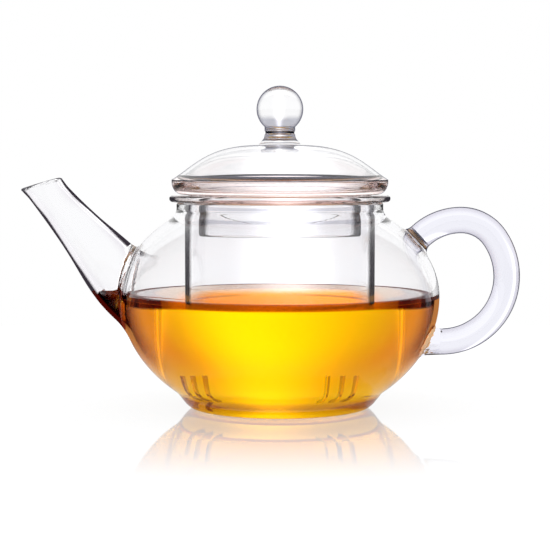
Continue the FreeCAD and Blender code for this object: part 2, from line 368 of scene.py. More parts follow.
def handle_rod():
    bpy.ops.mesh.primitive_circle_add(vertices=rod_steps, radius=rod_radius)
    rod = bpy.context.object
    rod.name = "handle"
    turn = -shoulder_turn
    crown = way(rod_bends[1][1])
    apex_x = handle_right - rod_radius - crown.x * rod_bends[1][0] - (1 - crown.x) * rod_bends[2][0]
    place = at(apex_x, handle_top - rod_radius) + (way(turn) - way(0)) * rod_bends[0][0]
    rod.rotation_euler.y = math.radians(90 + turn)
    rod.location = place
    bpy.ops.object.transform_apply(location=True, rotation=True, scale=True)
    bpy.ops.object.mode_set(mode="EDIT")
    bpy.ops.mesh.select_all(action="SELECT")
    bpy.ops.mesh.edge_face_add()
    for bend_radius, end_turn, steps in rod_bends:
        centre = place - way(turn) * bend_radius
        angle = math.radians(end_turn - turn)
        bpy.ops.mesh.spin(steps=steps, angle=-angle, center=centre, axis=(0, 1, 0))
        place = centre + way(end_turn) * bend_radius
        turn = end_turn
    bpy.ops.mesh.extrude_region_move(TRANSFORM_OT_translate={"value": (-tail, 0, 0)})
    close_up()
    low = min(vertex.co.z for vertex in rod.data.vertices)
    right = max(vertex.co.x for vertex in rod.data.vertices)
    print(f"handle: reaches x {right / MM:.2f} and down to z {low / MM:.2f} mm")
    return rod


handle = handle_rod()

# %% [markdown]
# ## Welding
# Spout and handle are fused on in the flame, so their seams aren't sharp: the glass draws up into a small
# fillet. A boolean joins two closed forms. Near the seam the mesh is made finer, and each vertex there
# moves to where a drop would settle: the closer both old skins are, the further out of the corner.

# %% Weld and cut helpers
sliver = 0.3 * MM
smooth_passes = 6
smooth_factor = 0.5
settle_steps = 6
seam_cuts = 2


def combine(piece, tool, operation):
    """Joins or cuts a closed mesh with another one, which is used up."""
    modifier = piece.modifiers.new(operation, "BOOLEAN")
    modifier.operation = operation
    modifier.solver = "MANIFOLD"
    modifier.object = tool
    bpy.context.view_layer.objects.active = piece
    bpy.ops.object.modifier_apply(modifier=modifier.name)
    bpy.data.objects.remove(tool)


def skin(piece):
    return BVHTree.FromObject(piece, bpy.context.evaluated_depsgraph_get())


def select_vertices(piece, wanted):
    """Goes into edit mode with just the wanted vertices selected, and counts them."""
    bpy.ops.object.select_all(action="DESELECT")
    bpy.context.view_layer.objects.active = piece
    piece.select_set(True)
    bpy.ops.object.mode_set(mode="EDIT")
    bpy.ops.mesh.select_mode(type="VERT")
    bpy.ops.mesh.select_all(action="DESELECT")
    bpy.ops.object.mode_set(mode="OBJECT")
    chosen = [wanted(vertex.co) for vertex in piece.data.vertices]
    piece.data.vertices.foreach_set("select", chosen)
    bpy.ops.object.mode_set(mode="EDIT")
    return sum(chosen)


def weld(piece, tool, fillet):
    """Joins two closed forms and rounds the corner between them."""
    skins = [skin(piece), skin(tool)]
    label = tool.name
    combine(piece, tool, "UNION")

    def ways_out(place):
        """How far a place lies out of each old skin and the way out, the nearer skin first."""
        found = []
        for old in skins:
            spot, normal, _, gap = old.find_nearest(place)
            found.append((math.copysign(gap, (place - spot).dot(normal)), normal))
        return sorted(found, key=lambda pair: pair[0])

    def at_seam(place):
        return all(abs(gap) < fillet for gap, _ in ways_out(place))

    def settled(place):
        for _ in range(settle_steps):
            (near, near_way), (far, far_way) = ways_out(place)
            share = max(1 - (far - near) / fillet, 0)
            gap = near - share ** 2 * fillet / 4
            place = place - near_way.lerp(far_way, share / 2).normalized() * gap
        return place

    select_vertices(piece, at_seam)
    bpy.ops.mesh.remove_doubles(threshold=sliver)
    bpy.ops.mesh.subdivide(number_cuts=seam_cuts)
    bpy.ops.mesh.vertices_smooth(factor=smooth_factor, repeat=smooth_passes)
    bpy.ops.object.mode_set(mode="OBJECT")
    seam = [vertex for vertex in piece.data.vertices if at_seam(vertex.co)]
    for vertex in seam:
        vertex.co = settled(vertex.co)
    print(f"{piece.name}: {label} welded on, {len(seam)} vertices settled in a fillet")


# %% Weld the pot and cut its hollow
spout_weld = 2.4 * MM
handle_weld = 2.6 * MM
bore_weld = 1.4 * MM
weld(pot, spout, spout_weld)
weld(pot, handle, handle_weld)
weld(hollow, bore, bore_weld)
combine(pot, hollow, "DIFFERENCE")
print(f"pot_glass: {len(pot.data.polygons)} faces")

# %% [markdown]
# ## The infuser
# The infuser is a plain glass tube with a dished bottom and a flat flange that hangs on the neck. Water
# passes through fine slits that are sawn through its bottom corner, in groups of three. The tube is one
# turned piece. One thin plate is spun round with duplicates to make all the saw cuts, which a boolean
# takes out together.

# %% Infuser
infuser_wall = 1.6 * MM
infuser_corner = 3.6 * MM
flange_thickness = 2.0 * MM
flange_round = 0.9 * MM
flange_fillet = 0.7 * MM
infuser_bore = infuser_radius - infuser_wall
flange_bottom = flange_top - flange_thickness
infuser_steps = 192
wall_points = 12
corner_points = 12


def infuser_outline():
    floor_top = infuser_bottom + infuser_wall
    flat = infuser_radius - infuser_corner
    dish_top = infuser_bottom + infuser_corner
    corner = at(infuser_radius, infuser_bottom)
    under = at(infuser_radius, flange_bottom)
    low_edge = at(flange_radius, flange_bottom)
    high_edge = at(flange_radius, flange_top)
    mouth = at(infuser_bore, flange_top)
    step = at(flange_round, 0)
    lift = at(0, flange_round)
    return chain(
        [at(0, infuser_bottom)],
        rounded(at(flat, infuser_bottom), corner, at(infuser_radius, dish_top), corner_points),
        straight(at(infuser_radius, dish_top), under - at(0, flange_fillet), wall_points),
        rounded(under - at(0, flange_fillet), under, under + at(flange_fillet, 0)),
        rounded(low_edge - step, low_edge, low_edge + lift),
        rounded(high_edge - lift, high_edge, high_edge - step),
        rounded(mouth + step, mouth, mouth - lift),
        straight(mouth - lift, at(infuser_bore, dish_top), wall_points),
        rounded(at(infuser_bore, dish_top), at(infuser_bore, floor_top), at(flat, floor_top), corner_points),
        [at(0, floor_top)],
    )


infuser = lathe("infuser_glass", infuser_outline(), infuser_steps)

# %% Infuser slits
slit_width = 0.9 * MM
slit_height = 9.0 * MM
slit_reach = 6.0 * MM
slit_groups = 4
slits_per_group = 3
slit_pitch = math.radians(9.4)
slit_group_angle = math.radians(36)


def saw_cuts():
    """One thin upright plate, copied round the axis in groups."""
    length = slit_reach + infuser_wall
    height = slit_height + infuser_wall
    middle = at(infuser_radius - slit_reach + length / 2, infuser_bottom - infuser_wall + height / 2)
    bpy.ops.mesh.primitive_cube_add(size=1, location=middle, scale=(length, slit_width, height))
    cuts = bpy.context.object
    cuts.name = "saw_cuts"
    bpy.ops.object.transform_apply(location=True, rotation=True, scale=True)
    bpy.ops.object.mode_set(mode="EDIT")
    bpy.ops.mesh.select_all(action="SELECT")
    first = slit_group_angle - slit_pitch * (slits_per_group - 1) / 2
    bpy.ops.transform.rotate(value=-first, orient_axis="Z", center_override=(0, 0, 0))
    group_width = slit_pitch * (slits_per_group - 1)
    bpy.ops.mesh.spin(dupli=True, steps=slits_per_group - 1, angle=-group_width, axis=(0, 0, 1))
    bpy.ops.mesh.select_all(action="SELECT")
    last_turn = 2 * math.pi * (slit_groups - 1) / slit_groups
    bpy.ops.mesh.spin(dupli=True, steps=slit_groups - 1, angle=last_turn, axis=(0, 0, 1))
    close_up()
    return cuts


cuts = saw_cuts()
plate_turns = [math.degrees(math.atan2(face.center.y, face.center.x)) for face in cuts.data.polygons]
plate_faces = 6
print(f"saw cuts: {len(plate_turns) // plate_faces} plates, at degrees "
      f"{sorted({round(turn) for turn in plate_turns})}")
combine(infuser, cuts, "DIFFERENCE")

# %% [markdown]
# ## The lid
# The lid is a blown dome on a flared skirt, hollow between them, with a short stem and a solid ball. It
# is one piece of glass, so it is one outline: from the top of the ball down over the dome, round the
# brim, down the skirt and back up inside to the underside of the dome. The stem carries the thin ring
# where it was joined.

# %% Lid
skirt_wall = 1.5 * MM
skirt_clearance = 2.65 * MM
skirt_fillet = 1.7 * MM
seat_gap = 0.2 * MM
seat_land = 1.3 * MM
brim_edge = 0.45 * MM
brim_hollow = 0.6 * MM
dome_wall = 1.0 * MM
dome_crown_pull = 16.0 * MM
dome_brim_pull = 8.0 * MM
dome_brim_slope = math.radians(31)
stem_foot_radius = 6.3 * MM
stem_foot_height = 1.3 * MM
stem_cone_height = 2.5 * MM
stem_radius = 4.7 * MM
stem_ring = 0.3 * MM
ball_radius = 7.15 * MM
lid_seat = flange_top + seat_gap
skirt_radius = infuser_bore - skirt_clearance
skirt_bore = skirt_radius - skirt_wall
lid_steps = 192
ball_points = 40
dome_points = 60
skirt_points = 24
inner_skirt_points = 6
ring_points = 6


def knob_outline():
    """Down from the top of the ball over the joining ring to the foot of the stem."""
    centre = at(0, ball_top - ball_radius)
    neck_turn = math.asin(stem_radius / ball_radius)
    turns = [(math.pi - neck_turn) * number / ball_points for number in range(ball_points + 1)]
    ball = [centre + at(math.sin(turn), math.cos(turn)) * ball_radius for turn in turns]
    cone_top = at(stem_radius, crown_height + stem_foot_height + stem_cone_height)
    above = at(0, 2 * stem_ring)
    ring = bend(cone_top + above, cone_top - at(2 * stem_ring, 0), cone_top - above, ring_points)
    cone = bezier(
        ring[-1],
        at(stem_radius, crown_height + stem_foot_height),
        at(stem_foot_radius, crown_height + stem_foot_height),
        at(stem_foot_radius, crown_height),
    )
    return chain(ball, ring, cone)


def inside_of(curve, wall):
    """The same curve moved in by the wall, for a curve that is drawn outwards from the axis."""
    ways = [(after - before).normalized() for before, after in zip(curve, curve[2:])]
    ways = [ways[0]] + ways + [ways[-1]]
    return [point + at(way.z, -way.x) * wall for point, way in zip(curve, ways)]


def lid_outline():
    pull = at(-math.cos(dome_brim_slope), math.sin(dome_brim_slope)) * dome_brim_pull
    crown_pull = at(dome_crown_pull, 0)
    land = at(stem_foot_radius, crown_height)
    brim_top = at(brim_radius, brim_height + brim_edge)
    brim_low = at(brim_radius, brim_height - brim_edge)
    dome = bezier(land, land + crown_pull, brim_top + pull, brim_top, dome_points)
    vault = [point for point in inside_of(dome, dome_wall) if point.z > brim_height + brim_hollow]
    seat_outer = at(infuser_bore + flange_round + seat_land, lid_seat)
    corner = at(skirt_radius, lid_seat)
    throat = corner - at(0, skirt_fillet)
    inner_throat = at(skirt_bore, throat.z)
    end_out = at(skirt_radius, skirt_bottom + skirt_wall / 2)
    end_in = at(skirt_bore, skirt_bottom + skirt_wall / 2)
    end_middle = at(skirt_radius - skirt_wall / 2, skirt_bottom)
    inner_seat = lid_seat + skirt_wall
    return chain(
        knob_outline(),
        dome,
        bezier(
            brim_low,
            at(brim_radius, brim_low.z - brim_edge),
            at(brim_radius - brim_edge, lid_seat),
            seat_outer,
        ),
        rounded(corner + at(skirt_fillet, 0), corner, throat),
        straight(throat, end_out, skirt_points),
        rounded(end_out, at(skirt_radius, skirt_bottom), end_middle),
        rounded(end_middle, at(skirt_bore, skirt_bottom), end_in),
        straight(end_in, inner_throat, inner_skirt_points),
        bezier(inner_throat, at(skirt_bore, inner_seat), at(seat_outer.x, inner_seat), vault[-1]),
        vault[::-1],
        [at(0, vault[0].z)],
    )


lid = lathe("lid_glass", lid_outline(), lid_steps)

# %% [markdown]
# ## The tea
# Tea fills the hollow of the bowl and the root of the spout up to one level. Its form is the same hollow,
# grown a little so that it sinks into the glass: two skins that nearly touch leave no silvery gap of air
# between tea and glass. It is cut off level, and its edge is drawn up the glass into a meniscus.

# %% Tea
tea_level = 34.0 * MM
tea_sink = 0.3 * MM
meniscus_width = 2.4 * MM
meniscus_rise = 1.3 * MM
meniscus_steps = 6

tea = lathe("tea", bowl_inside(tea_sink), bowl_steps)
weld(tea, turned_spout("tea_in_spout", spout_bore(tea_sink)), bore_weld)


def cut_level(piece, level):
    """Takes off all above a level and closes the cut with one face, which stays selected."""
    select_vertices(piece, lambda place: True)
    bpy.ops.mesh.bisect(plane_co=(0, 0, level), plane_no=(0, 0, 1), use_fill=True, clear_outer=True)
    bpy.ops.object.mode_set(mode="OBJECT")
    count = select_vertices(piece, lambda place: place.z > level - MERGE)
    print(f"{piece.name}: cut at {level / MM:.1f} mm with {count} vertices round the edge")


def draw_up_edge():
    """Insets the selected surface in rings and lowers each by less and less, from the edge inwards."""
    for number in range(meniscus_steps):
        bpy.ops.mesh.inset(thickness=meniscus_width / meniscus_steps)
        left = [1 - step / meniscus_steps for step in (number, number + 1)]
        drop = meniscus_rise * (left[0] ** 3 - left[1] ** 3)
        bpy.ops.transform.translate(value=(0, 0, -drop))


cut_level(tea, tea_level + meniscus_rise)
draw_up_edge()
close_up()
print(f"tea: {len(tea.data.polygons)} faces, surface at {tea_level / MM:.1f} mm")

# %% [markdown]
# ## Placing the pieces
# Each new piece takes the place of the plain solids that it stands for and rides on the same body.
# Smooth shading stops at edges sharper than the given angle.

# %% Rides and shading
smooth_angle = math.radians(50)

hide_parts("pot_bowl", "pot_shoulder", "pot_spout", "pot_handle")
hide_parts("infuser_tube", "infuser_base", "infuser_flange")
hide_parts("lid_dome", "lid_skirt", "lid_knob_stem", "lid_knob_ball")
for piece, body, slot in (
    (pot, "pot", "clear_glass"),
    (tea, "pot", "tea"),
    (infuser, "infuser", "clear_glass"),
    (lid, "lid", "clear_glass"),
):
    bpy.ops.object.select_all(action="DESELECT")
    piece.select_set(True)
    bpy.context.view_layer.objects.active = piece
    bpy.ops.object.shade_smooth_by_angle(angle=smooth_angle)
    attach(piece, body)
    piece.data.calc_loop_triangles()
    print(f"{piece.name}: {len(piece.data.loop_triangles)} triangles on body {body}")

# %% [markdown]
# ## Writing shaders as sums
# A node tree is easier to read as an expression. This small class holds one socket. Sums and products of
# such values add the Math nodes for them, and its method node adds any other kind, which is named without
# the ShaderNode that all their names begin with.

# %% Shader values
class Value:
    def __init__(self, tree, socket=None):
        self.tree = tree
        self.socket = socket

    def node(self, kind, sockets=None, output=0, **settings):
        """Adds a node: first its settings, then the numbers, colours or values of its sockets."""
        made = self.tree.nodes.new("ShaderNode" + kind)
        for name, setting in settings.items():
            setattr(made, name, setting)
        for name, filling in (sockets or {}).items():
            self.fill(made.inputs[name], filling)
        return Value(self.tree, made.outputs[output])

    def fill(self, socket, filling):
        if isinstance(filling, Value):
            self.tree.links.new(filling.socket, socket)
        else:
            socket.default_value = filling

    def math(self, operation, first, second=0.0):
        return self.node("Math", {0: first, 1: second}, operation=operation)

    def ramp(self, low, high):
        """0 below low, 1 above high and a soft step between them."""
        span = {"Value": self, "From Min": low, "From Max": high}
        return self.node("MapRange", span, interpolation_type="SMOOTHSTEP")

    def mix(self, first, second):
        """The first colour where this value is 0 and the second where it is 1. The node's sockets 6 and 7
        and its output 2 are those for colours."""
        return self.node("Mix", {"Factor": self, 6: first, 7: second}, output=2, data_type="RGBA")

    def blend(self, first, second):
        """The first shader where this value is 0 and the second where it is 1."""
        return self.node("MixShader", {0: self, 1: first, 2: second})

    def __add__(self, other):
        return self.math("ADD", self, other)

    def __sub__(self, other):
        return self.math("SUBTRACT", self, other)

    def __rsub__(self, other):
        return self.math("SUBTRACT", other, self)

    def __mul__(self, other):
        return self.math("MULTIPLY", self, other)

    def __truediv__(self, other):
        return self.math("DIVIDE", self, other)

    __radd__ = __add__
    __rmul__ = __mul__


def new_material(name):
    """A material with a Principled shader, and a value to write its nodes from."""
    material = bpy.data.materials.new(name)
    material.use_nodes = True
    return material, Value(material.node_tree)


def clear_body(name, ior, gloss):
    """A smooth see-through material that bends light and mirrors a share of what glass would."""
    material, value = new_material(name)
    shader = material.node_tree.nodes["Principled BSDF"]
    shader.inputs["Roughness"].default_value = 0.0
    shader.inputs["IOR"].default_value = ior
    shader.inputs["Specular Tint"].default_value = (gloss, gloss, gloss, 1)
    shader.inputs["Transmission Weight"].default_value = 1.0
    return material, value, shader


def show(material, surface):
    """Makes a shader the one that the material shows."""
    surface.fill(material.node_tree.nodes["Material Output"].inputs["Surface"], surface)


def coordinates(value):
    """The place on the piece, and its three numbers: across, depth and height."""
    place = value.node("TexCoord", output="Object")
    split = value.node("SeparateXYZ", {0: place}).socket.node
    return [place] + [Value(value.tree, socket) for socket in split.outputs]


def seen_grazing(value):
    """0 where a surface is seen straight on and 1 where it is seen along its length."""
    return value.node("LayerWeight", {"Blend": 0.5}, output="Facing")


# %% [markdown]
# ## Clear glass
# Clear glass shows by its edges: where a wall is seen along its length, light is lost and the line turns
# dark. The shader's own refraction bends the light, and bands of tint that depend on how steeply the
# surface is seen draw the lines. Glass that is seen along its length also mirrors the white room, and
# that turns a dark line grey. Where a line has to be crisp, a plain see-through shader with a dark tint
# takes over there: it is called ink below. Blown glass is never quite even, so a faint wide ripple moves
# the surface, and some lines swell and thin along their way. Where tea lies against the glass, light
# hardly bends between the two, so wet walls have a weaker refraction.

# %% Clear glass material
glass_ior = 1.47
wet_ior = 1.22
wet_tube_ior = 1.12
glass_tint = (0.985, 0.985, 0.993, 1)
ripple_scale = 60.0
ripple_depth = 0.1 * MM
ripple_strength = 0.12
swell_scale = 90.0


def clear_glass(name, *bands, ink=None, body=glass_tint, gloss=1.0, ior=glass_ior, uneven=0.0):
    """Each band says where it starts and where it is full, from facing at 0 to grazing at 1, and its tint.
    Two more numbers are the heights at which it is gone and whole. Ink is a band that mirrors nothing."""
    material, value, shader = clear_body(name, ior, gloss)
    place, _, _, height = coordinates(value)
    swell = value.node("TexNoise", {"Vector": place, "Scale": swell_scale, "Detail": 0.0})
    grazing = seen_grazing(value) + (swell - 0.5) * uneven

    def share_of(start, full, _, *heights):
        share = grazing.ramp(start, full)
        return share * height.ramp(*heights) if heights else share

    colour = body
    for band in bands:
        colour = share_of(*band).mix(colour, band[2])
    value.fill(shader.inputs["Base Color"], colour)
    if ink:
        glass = Value(value.tree, shader.outputs[0])
        line = value.node("BsdfTransparent", {"Color": ink[2]})
        show(material, share_of(*ink).blend(glass, line))
    ripple = value.node("TexNoise", {"Vector": place, "Scale": ripple_scale, "Detail": 1.0})
    bump_sockets = {"Strength": ripple_strength, "Distance": ripple_depth, "Height": ripple}
    value.fill(shader.inputs["Normal"], value.node("Bump", bump_sockets))
    return material


# %% [markdown]
# ## Kinds of glass
# It is the same glass all over, but a large bowl, a narrow tube and a solid rod show it differently. A
# thin tube needs a wider line than a large bowl, so each kind of wall has its own bands. A band that
# starts below 0 is full everywhere.

# %% Glass of the pot
everywhere = (-0.2, -0.1)
faint_edge = (0.8, 1.0, (0.93, 0.93, 0.95, 1))
bowl_shade = (0.70, 1.0, (0.80, 0.80, 0.87, 1))
bowl_line = (0.90, 1.0, (0.25, 0.25, 0.32, 1))
wet_ink_heights = (12 * MM, 24 * MM)
wet_ink = (0.50, 0.80, (0.68, 0.42, 0.22, 1), *wet_ink_heights)
# Painted shade: the spout's wall below the tea is tinted dark red nearly all over, for the dark tea seen in
# the spout.
wet_spout_painted_shade = (0.15, 0.45, (0.25, 0.05, 0.035, 1))
spout_shade = (0.10, 0.40, (0.80, 0.77, 0.82, 1))
spout_ink = (0.46, 0.60, (0.20, 0.18, 0.21, 1))
lip_ink = (0.45, 0.70, (0.30, 0.29, 0.32, 1))
handle_tint = (0.89, 0.89, 0.965, 1)
handle_shade = (0.10, 0.45, (0.62, 0.60, 0.70, 1))
handle_ink = (0.55, 0.75, (0.30, 0.30, 0.36, 1))
# Painted shade: the glass where the handle is welded to the shoulder is tinted near black, for the dark
# bands that the weld shows.
weld_painted_shade = (0.05, 0.05, 0.07, 1)
tail_ink = (*everywhere, (0.93, 0.93, 0.97, 1))

inner_glass = clear_glass("inner_glass", faint_edge, gloss=0.2)
bowl_glass = clear_glass("bowl_glass", bowl_shade, bowl_line, gloss=0.5)
wet_glass = clear_glass("wet_glass", faint_edge, ink=wet_ink, gloss=0.1, ior=wet_ior)
wet_spout = clear_glass("wet_spout", faint_edge, ink=wet_spout_painted_shade, gloss=0.1, ior=wet_ior)
spout_glass = clear_glass("spout_glass", spout_shade, ink=spout_ink, gloss=0.4, uneven=0.3)
lip_glass = clear_glass("lip_glass", faint_edge, ink=lip_ink)
handle_glass = clear_glass("handle_glass", handle_shade, ink=handle_ink, body=handle_tint, uneven=0.08)
weld_glass = clear_glass("weld_glass", handle_shade, ink=handle_ink, body=weld_painted_shade)
tail_glass = clear_glass("tail_glass", faint_edge, ink=tail_ink)
pot_glasses = [
    bowl_glass, wet_glass, spout_glass, wet_spout, lip_glass,
    handle_glass, weld_glass, tail_glass, inner_glass,
]
print(f"{len(pot_glasses)} kinds of glass for the pot")

# %% Glass of the infuser
tube_ink = (0.60, 0.72, (0.19, 0.18, 0.20, 1))
base_ink = (*everywhere, (0.93, 0.905, 0.87, 1))
# Painted shade: the sawn sides of the slits are tinted dark brown, for the dark lines that the slits show in
# the tea.
slit_painted_shade = (0.42, 0.30, 0.18, 1)
# Painted light: the flat faces of the flange and the lid's underside inside the brim are tinted pink, for
# the tea's light that shows in them.
seat_painted_tea_light = (0.76, 0.62, 0.59, 1)

tube_glass = clear_glass("tube_glass", faint_edge, ink=tube_ink, gloss=0.3, uneven=0.1)
wet_tube = clear_glass("wet_tube", faint_edge, gloss=0.1, ior=wet_tube_ior)
base_glass = clear_glass("base_glass", faint_edge, ink=base_ink, ior=wet_tube_ior)
slit_glass = clear_glass("slit_glass", faint_edge, body=slit_painted_shade, gloss=0.1, ior=wet_tube_ior)
seat_glass = clear_glass("seat_glass", faint_edge, body=seat_painted_tea_light, gloss=0.2, ior=wet_ior)
infuser_glasses = [tube_glass, inner_glass, wet_tube, base_glass, slit_glass, seat_glass]
print(f"{len(infuser_glasses)} kinds of glass for the infuser")

# %% Glass of the lid
lid_line = (0.80, 1.0, (0.22, 0.22, 0.28, 1))
lid_ink = (0.88, 0.98, (0.45, 0.45, 0.52, 1))
skirt_ink = (0.50, 0.66, (0.16, 0.16, 0.18, 1))
# Painted shade: grey bands at two heights round the skirt, for dark lines that the skirt shows there.
skirt_band_shade = (0.50, 0.50, 0.57, 1)
# Painted shade: the ring round the brim's inner corner and the ring where the stem joins are tinted near
# black, for the dark lines that they show.
brim_painted_shade = (0.05, 0.05, 0.07, 1)
brim_ink = (0.0, 0.25, (0.06, 0.06, 0.08, 1))
ball_middle = ball_top - ball_radius
ball_shade_heights = (ball_middle - 1.5 * MM, ball_middle - 3.5 * MM)
ball_shade = (0.0, 0.15, (0.30, 0.31, 0.38, 1), *ball_shade_heights)
ball_line = (0.38, 0.70, (0.25, 0.25, 0.30, 1))
ball_ink = (0.62, 0.78, (0.42, 0.42, 0.48, 1))

lid_glass = clear_glass("lid_glass", lid_line, ink=lid_ink, gloss=0.5)
skirt_glass = clear_glass("skirt_glass", faint_edge, ink=skirt_ink, gloss=0.3, uneven=0.1)
ring_glass = clear_glass("ring_glass", faint_edge, ink=skirt_ink, body=skirt_band_shade, gloss=0.3)
ball_glass = clear_glass("ball_glass", ball_shade, ball_line, ink=ball_ink)
brim_glass = clear_glass("brim_glass", faint_edge, ink=brim_ink, body=brim_painted_shade)
lid_glasses = [lid_glass, skirt_glass, ring_glass, inner_glass, ball_glass, brim_glass, seat_glass]
print(f"{len(lid_glasses)} kinds of glass for the lid")

# %% [markdown]
# ## Which glass where
# By hand, faces would be selected and given a material slot. Here a rule for each piece looks at where a
# face lies and which way it points, and names its glass: inside or outside, wet or dry, on the bowl or on
# what is welded to it.

# %% Dressing helpers
bowl_room = 0.6 * MM


def dress(piece, materials, choose):
    """Gives a piece its materials and lets a rule pick one for each face."""
    piece.data.materials.clear()
    for material in materials:
        piece.data.materials.append(material)
    numbers = [materials.index(choose(face)) for face in piece.data.polygons]
    piece.data.polygons.foreach_set("material_index", numbers)
    print(f"{piece.name}: " + ", ".join(f"{m.name} {numbers.count(n)}" for n, m in enumerate(materials)))


def outside_bowl(place, room=bowl_room):
    """Whether a place stands out of the bowl's own round form, as the spout and the handle do."""
    rise = shoulder_rise if place.z > belly_height else lower_depth
    width = math.hypot(place.x, place.y) / (bowl_radius + room)
    return width ** 2 + ((place.z - belly_height) / (rise + room)) ** 2 > 1


def faces_axis(face):
    return face.normal.x * face.center.x + face.normal.y * face.center.y < 0


# %% Dress the pot
lip_depth = 1.0 * MM
weld_reach = 2.4 * MM


def spout_glass_at(face):
    along = (face.center - root).dot(spout_way)
    outward = face.normal.dot(face.center - root - spout_way * along) > 0
    below_mouth = (root + spout_way * spout_length - face.center).dot(mouth_normal)
    if below_mouth < lip_depth:
        return lip_glass
    # Painted shade: the spout's wall below the tea takes the dark red wet spout glass.
    if face.center.z < tea_level + meniscus_rise:
        return wet_spout
    drawn = outward and outside_bowl(face.center, weld_reach)
    return spout_glass if drawn else inner_glass


def handle_glass_at(face):
    if outside_bowl(face.center, weld_reach):
        return handle_glass
    # Painted shade: the weld at the shoulder takes the near-black weld glass.
    return weld_glass if face.center.z > belly_height else tail_glass


def pot_glass_at(face):
    if outside_bowl(face.center) and face.center.x < -neck_radius:
        return spout_glass_at(face)
    if outside_bowl(face.center) and face.center.x > neck_radius:
        return handle_glass_at(face)
    if face.center.z < tea_level:
        return wet_glass
    return inner_glass if faces_axis(face) else bowl_glass


dress(pot, pot_glasses, pot_glass_at)

# %% Dress the infuser
base_flatness = 0.7
slit_sideways = 0.9
seat_flatness = 0.5


def infuser_glass_at(face):
    if face.center.z < tea_level:
        sideways = face.normal.xy.cross(face.center.xy.normalized())
        if abs(face.normal.z) > base_flatness:
            return base_glass
        # Painted shade: the sawn sides of the slits take the dark brown slit glass.
        return slit_glass if abs(sideways) > slit_sideways else wet_tube
    # Painted light: the flange's flat faces take the pink seat glass.
    if face.center.z > flange_bottom - flange_fillet and abs(face.normal.z) > seat_flatness:
        return seat_glass
    return inner_glass if faces_axis(face) else tube_glass


dress(infuser, infuser_glasses, infuser_glass_at)

# %% Dress the lid
hem_height = 0.4 * MM
skirt_ring = 0.35 * MM
skirt_ring_rises = (3.6 * MM, 8.4 * MM)
brim_line = 0.65 * MM
corner_inset = 2.2 * MM
corner_height = brim_height + brim_hollow
corner_radius = brim_radius - corner_inset
stem_join = crown_height + stem_foot_height + stem_cone_height


def skirt_glass_at(face):
    rise = face.center.z - skirt_bottom
    if faces_axis(face) and rise > hem_height:
        return inner_glass
    # Painted shade: grey bands at two heights round the skirt.
    on_ring = any(abs(rise - ring) < skirt_ring for ring in skirt_ring_rises)
    return ring_glass if on_ring else skirt_glass


def lid_glass_at(face):
    out = math.hypot(face.center.x, face.center.y)
    height = face.center.z
    if height < lid_seat - skirt_fillet:
        return skirt_glass_at(face)
    # Painted shade: the stem's joining ring is near black.
    if abs(height - stem_join) < stem_ring:
        return brim_glass
    if height > crown_height + stem_foot_height:
        return ball_glass
    # Painted shade: the ring round the brim's inner corner is near black.
    if abs(out - corner_radius) < brim_line and abs(height - corner_height) < brim_line:
        return brim_glass
    # Painted light: the lid's underside inside the brim takes the pink seat glass.
    return seat_glass if height < brim_height and out < corner_radius else lid_glass


dress(lid, lid_glasses, lid_glass_at)

# %% [markdown]
# ## Tea
# Tea is a clear liquid whose colour comes from depth: it swallows blue within a centimetre, green slowly
# and red hardly at all. A volume that absorbs light does just that, so thin tea is pale yellow and deep
# tea is amber. On top of that, shade is painted on its skin as darker tints. Where the skin is seen at a
# slant the colour deepens, partly as a longer way through the tea would and partly as painted shade, and
# so it does low down at the foot. The painted shade is deepest in the spout and along the edge that climbs
# the glass, which mirrors nothing. In the middle of the surface, and more so in front, part of the shader
# is plainly see-through with an orange tint, a painted glow, so the colour below shows there.

# %% Tea colour, painted shade and a painted glow
tea_ior = 1.33
tea_gloss = 0.07
tea_colour = (0.993, 0.914, 0.0, 1)
tea_strength = 100.0
# Painted shade and a painted glow: these tints colour the tea's skin. The tea's own colour is the volume's.
tea_slant_shade = (0.75, 0.28, 0.04, 1)
tea_side_shade = (0.38, 0.13, 0.02, 1)
tea_edge_shade = (0.36, 0.12, 0.04, 1)
tea_turned_edge_shade = (0.05, 0.010, 0.004, 1)
tea_floor_shade = (0.45, 0.23, 0.07, 1)
tea_climbed_shade = (0.34, 0.12, 0.05, 1)
tea_painted_glow = (0.87, 0.42, 0.20, 1)
tea_spout_shade = (0.03, 0.001, 0.001, 1)
print("tea: eight tints over one absorbing volume")

# %% [markdown]
# ## Where each tint of the tea lies
# Each range below is where a tint begins and where it is full: a slope from facing at 0 to grazing at 1,
# a height over the table, a distance from the axis, or a place across or along the pot.

# %% Tea material
tea_slant = (0.06, 0.30)
tea_slant_heights = (2 * MM, 22 * MM)
tea_side = (0.30, 0.42)
tea_side_heights = (10 * MM, 26 * MM)
tea_turned = (0.12, 0.36)
tea_floor_heights = (6.5 * MM, 3.0 * MM)
tea_floor_radii = (22 * MM, 29 * MM)
tea_wall_radii = (bowl_radius - 6 * MM, bowl_radius - 4 * MM)
tea_spout_end = (-bowl_radius - 1.5 * MM, -bowl_radius)
tea_middle = (33 * MM, 20 * MM)
tea_front = (20 * MM, -8 * MM)
# How much of the painted glow shows behind, and how much more of it in front.
tea_clear_behind = 0.3
tea_clear_more_in_front = 0.6
tea_edge_depth = 0.9 * MM
tea_edge_more = 1.0 * MM
tea_skin = 0.2 * MM


